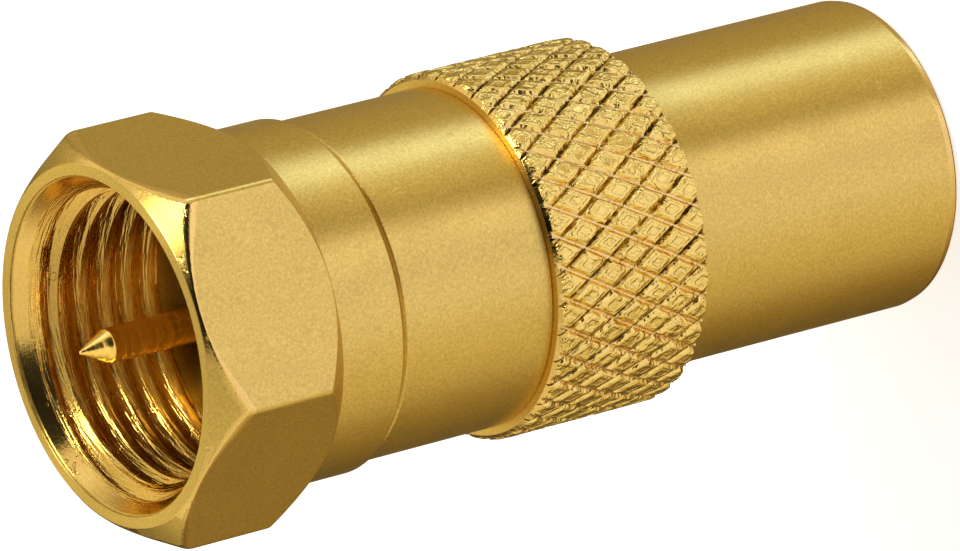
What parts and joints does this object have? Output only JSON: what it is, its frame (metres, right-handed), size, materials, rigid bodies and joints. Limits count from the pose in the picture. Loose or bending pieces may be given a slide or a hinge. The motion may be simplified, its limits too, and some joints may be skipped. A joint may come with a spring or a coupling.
{
  "type": "f plug to coaxial plug adapter",
  "caption": "Gold-plated adapter: F plug with a hexagonal coupling nut that turns, smooth barrel, knurled ring and 9.5 mm coaxial plug.",
  "frame": {"origin": "centre of the aerial plug's rim, the face that the adapter stands on", "axes": "+Z along the axis, from the aerial plug towards the F plug's mouth; the nut's flats are square to the X and Y axes to within the nut's turn"},
  "size_m": [0.0126, 0.0114, 0.0285],
  "materials": {
    "shell": "gold-plated, satin",
    "nut": "gold-plated, satin",
    "contact": "gold-plated, polished",
    "insulator": "natural white, turned"
  },
  "bodies": {
    "adapter": {"rear_shell": "shell", "barrel": "shell", "ferrule": "shell", "rear_insulator": "insulator", "front_insulator": "insulator", "aerial_contact": "contact", "f_contact": "contact"},
    "nut": {"coupling_nut": "nut"}
  },
  "joints": [
    {"name": "nut_turn", "type": "hinge", "parent": "adapter", "child": "nut", "pos_m": [0, 0, 0.0211], "axis": [0, 0, 1], "continuous": true}
  ]
}
